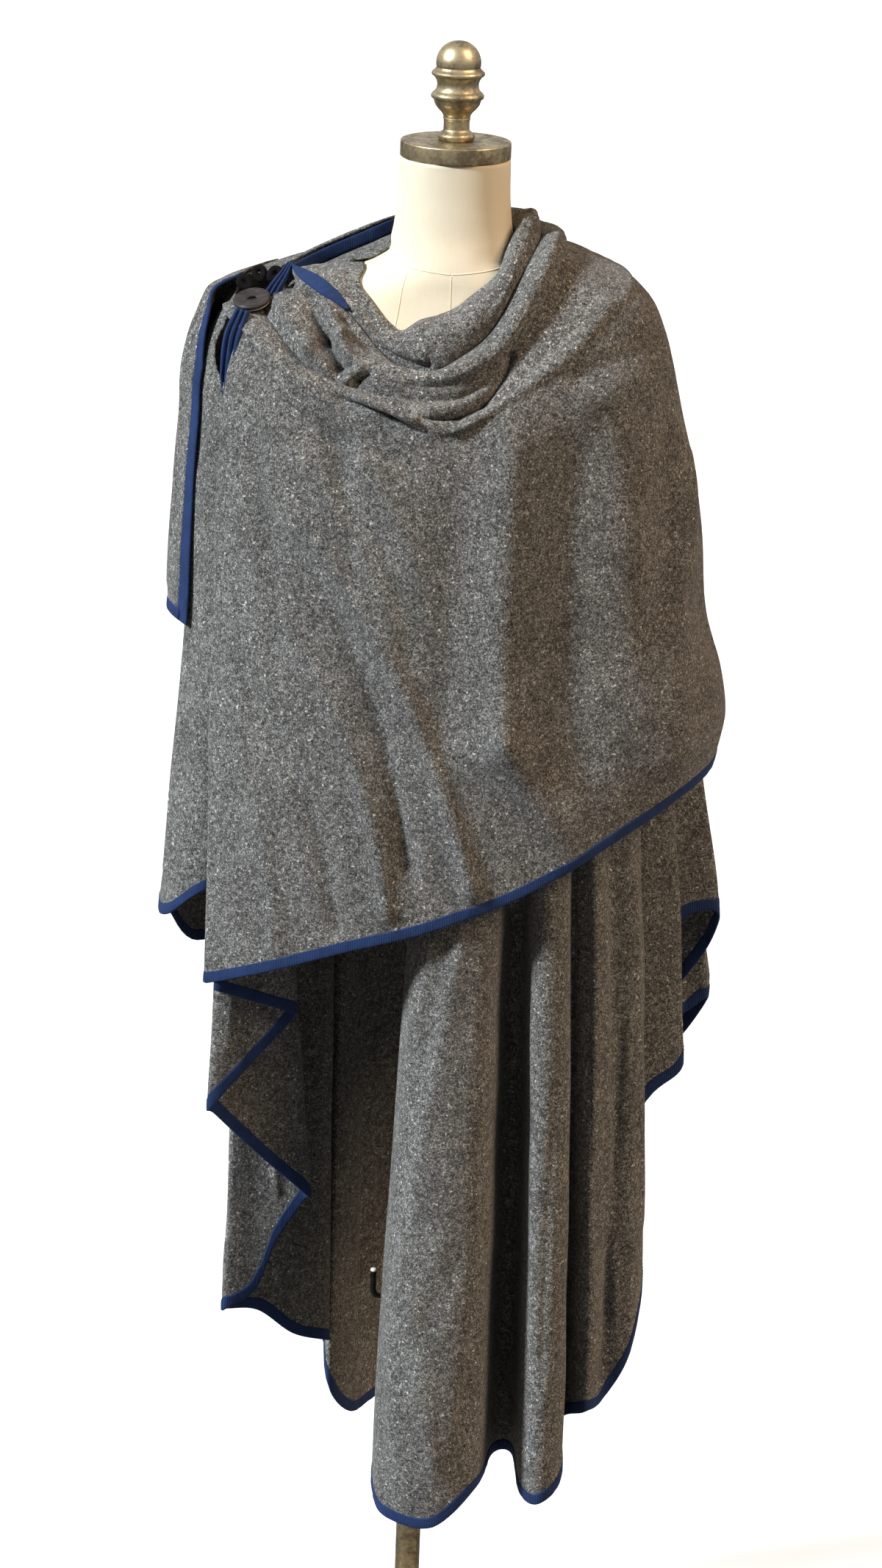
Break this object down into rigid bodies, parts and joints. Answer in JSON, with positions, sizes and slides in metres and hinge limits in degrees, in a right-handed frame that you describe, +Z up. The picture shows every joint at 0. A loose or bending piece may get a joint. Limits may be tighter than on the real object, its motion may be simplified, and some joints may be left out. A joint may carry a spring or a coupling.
{
  "type": "wrap cape on dress form",
  "caption": "Convertible wrap cape in grey wool bound in blue, buttoned at the shoulder and draped on a limbless dress form with a round-based stand.",
  "frame": {"origin": "centre of the base disc's underside, on the floor and on the pole's axis", "axes": "+Z up along the pole, -Y towards the viewer of the garment's front, +X to the wearer's left"},
  "size_m": [0.5555, 0.354, 1.7143],
  "materials": {
    "wool": "napped heather wool",
    "binding": "matt blue jersey binding",
    "linen": "tight cream linen",
    "brass": "antique brass",
    "horn": "dark polished horn",
    "black_button": "black",
    "black_steel": "black"
  },
  "bodies": {
    "base": {"base_disc": "brass", "lower_tube": "brass"},
    "clamp": {"clamp_screw": "black_steel"},
    "form": {"linen_torso": "linen", "neck_cap": "brass", "finial": "brass", "upper_pole": "brass", "horn_button": "horn", "black_button_1": "black_button", "black_button_2": "black_button", "black_button_3": "black_button", "front_wrap": "wool", "back_wrap": "wool", "tail": "wool", "cowl_inner_roll": "wool", "cowl_outer_rolls": "wool", "left_front_panel": "wool", "left_side_drape": "wool", "back_panel": "wool", "right_cascade": "wool", "binding_front_wrap": "binding", "binding_back_wrap": "binding", "binding_tail_hem": "binding", "binding_tail_edge": "binding", "binding_left_front_panel": "binding", "binding_left_side_drape": "binding", "binding_back_panel": "binding", "binding_right_cascade": "binding", "binding_back_neck": "binding", "binding_front_neck": "binding", "binding_gather_upper": "binding", "binding_gather_lower": "binding"}
  },
  "joints": [
    {"name": "height_slide", "type": "slide", "parent": "base", "child": "form", "axis": [0, 0, 1], "range_m": [-0.1, 0.12]},
    {"name": "clamp_turn", "type": "hinge", "parent": "base", "child": "clamp", "pos_m": [0, 0, 0.438], "axis": [1, 0, 0], "range_deg": [-180, 180]}
  ]
}
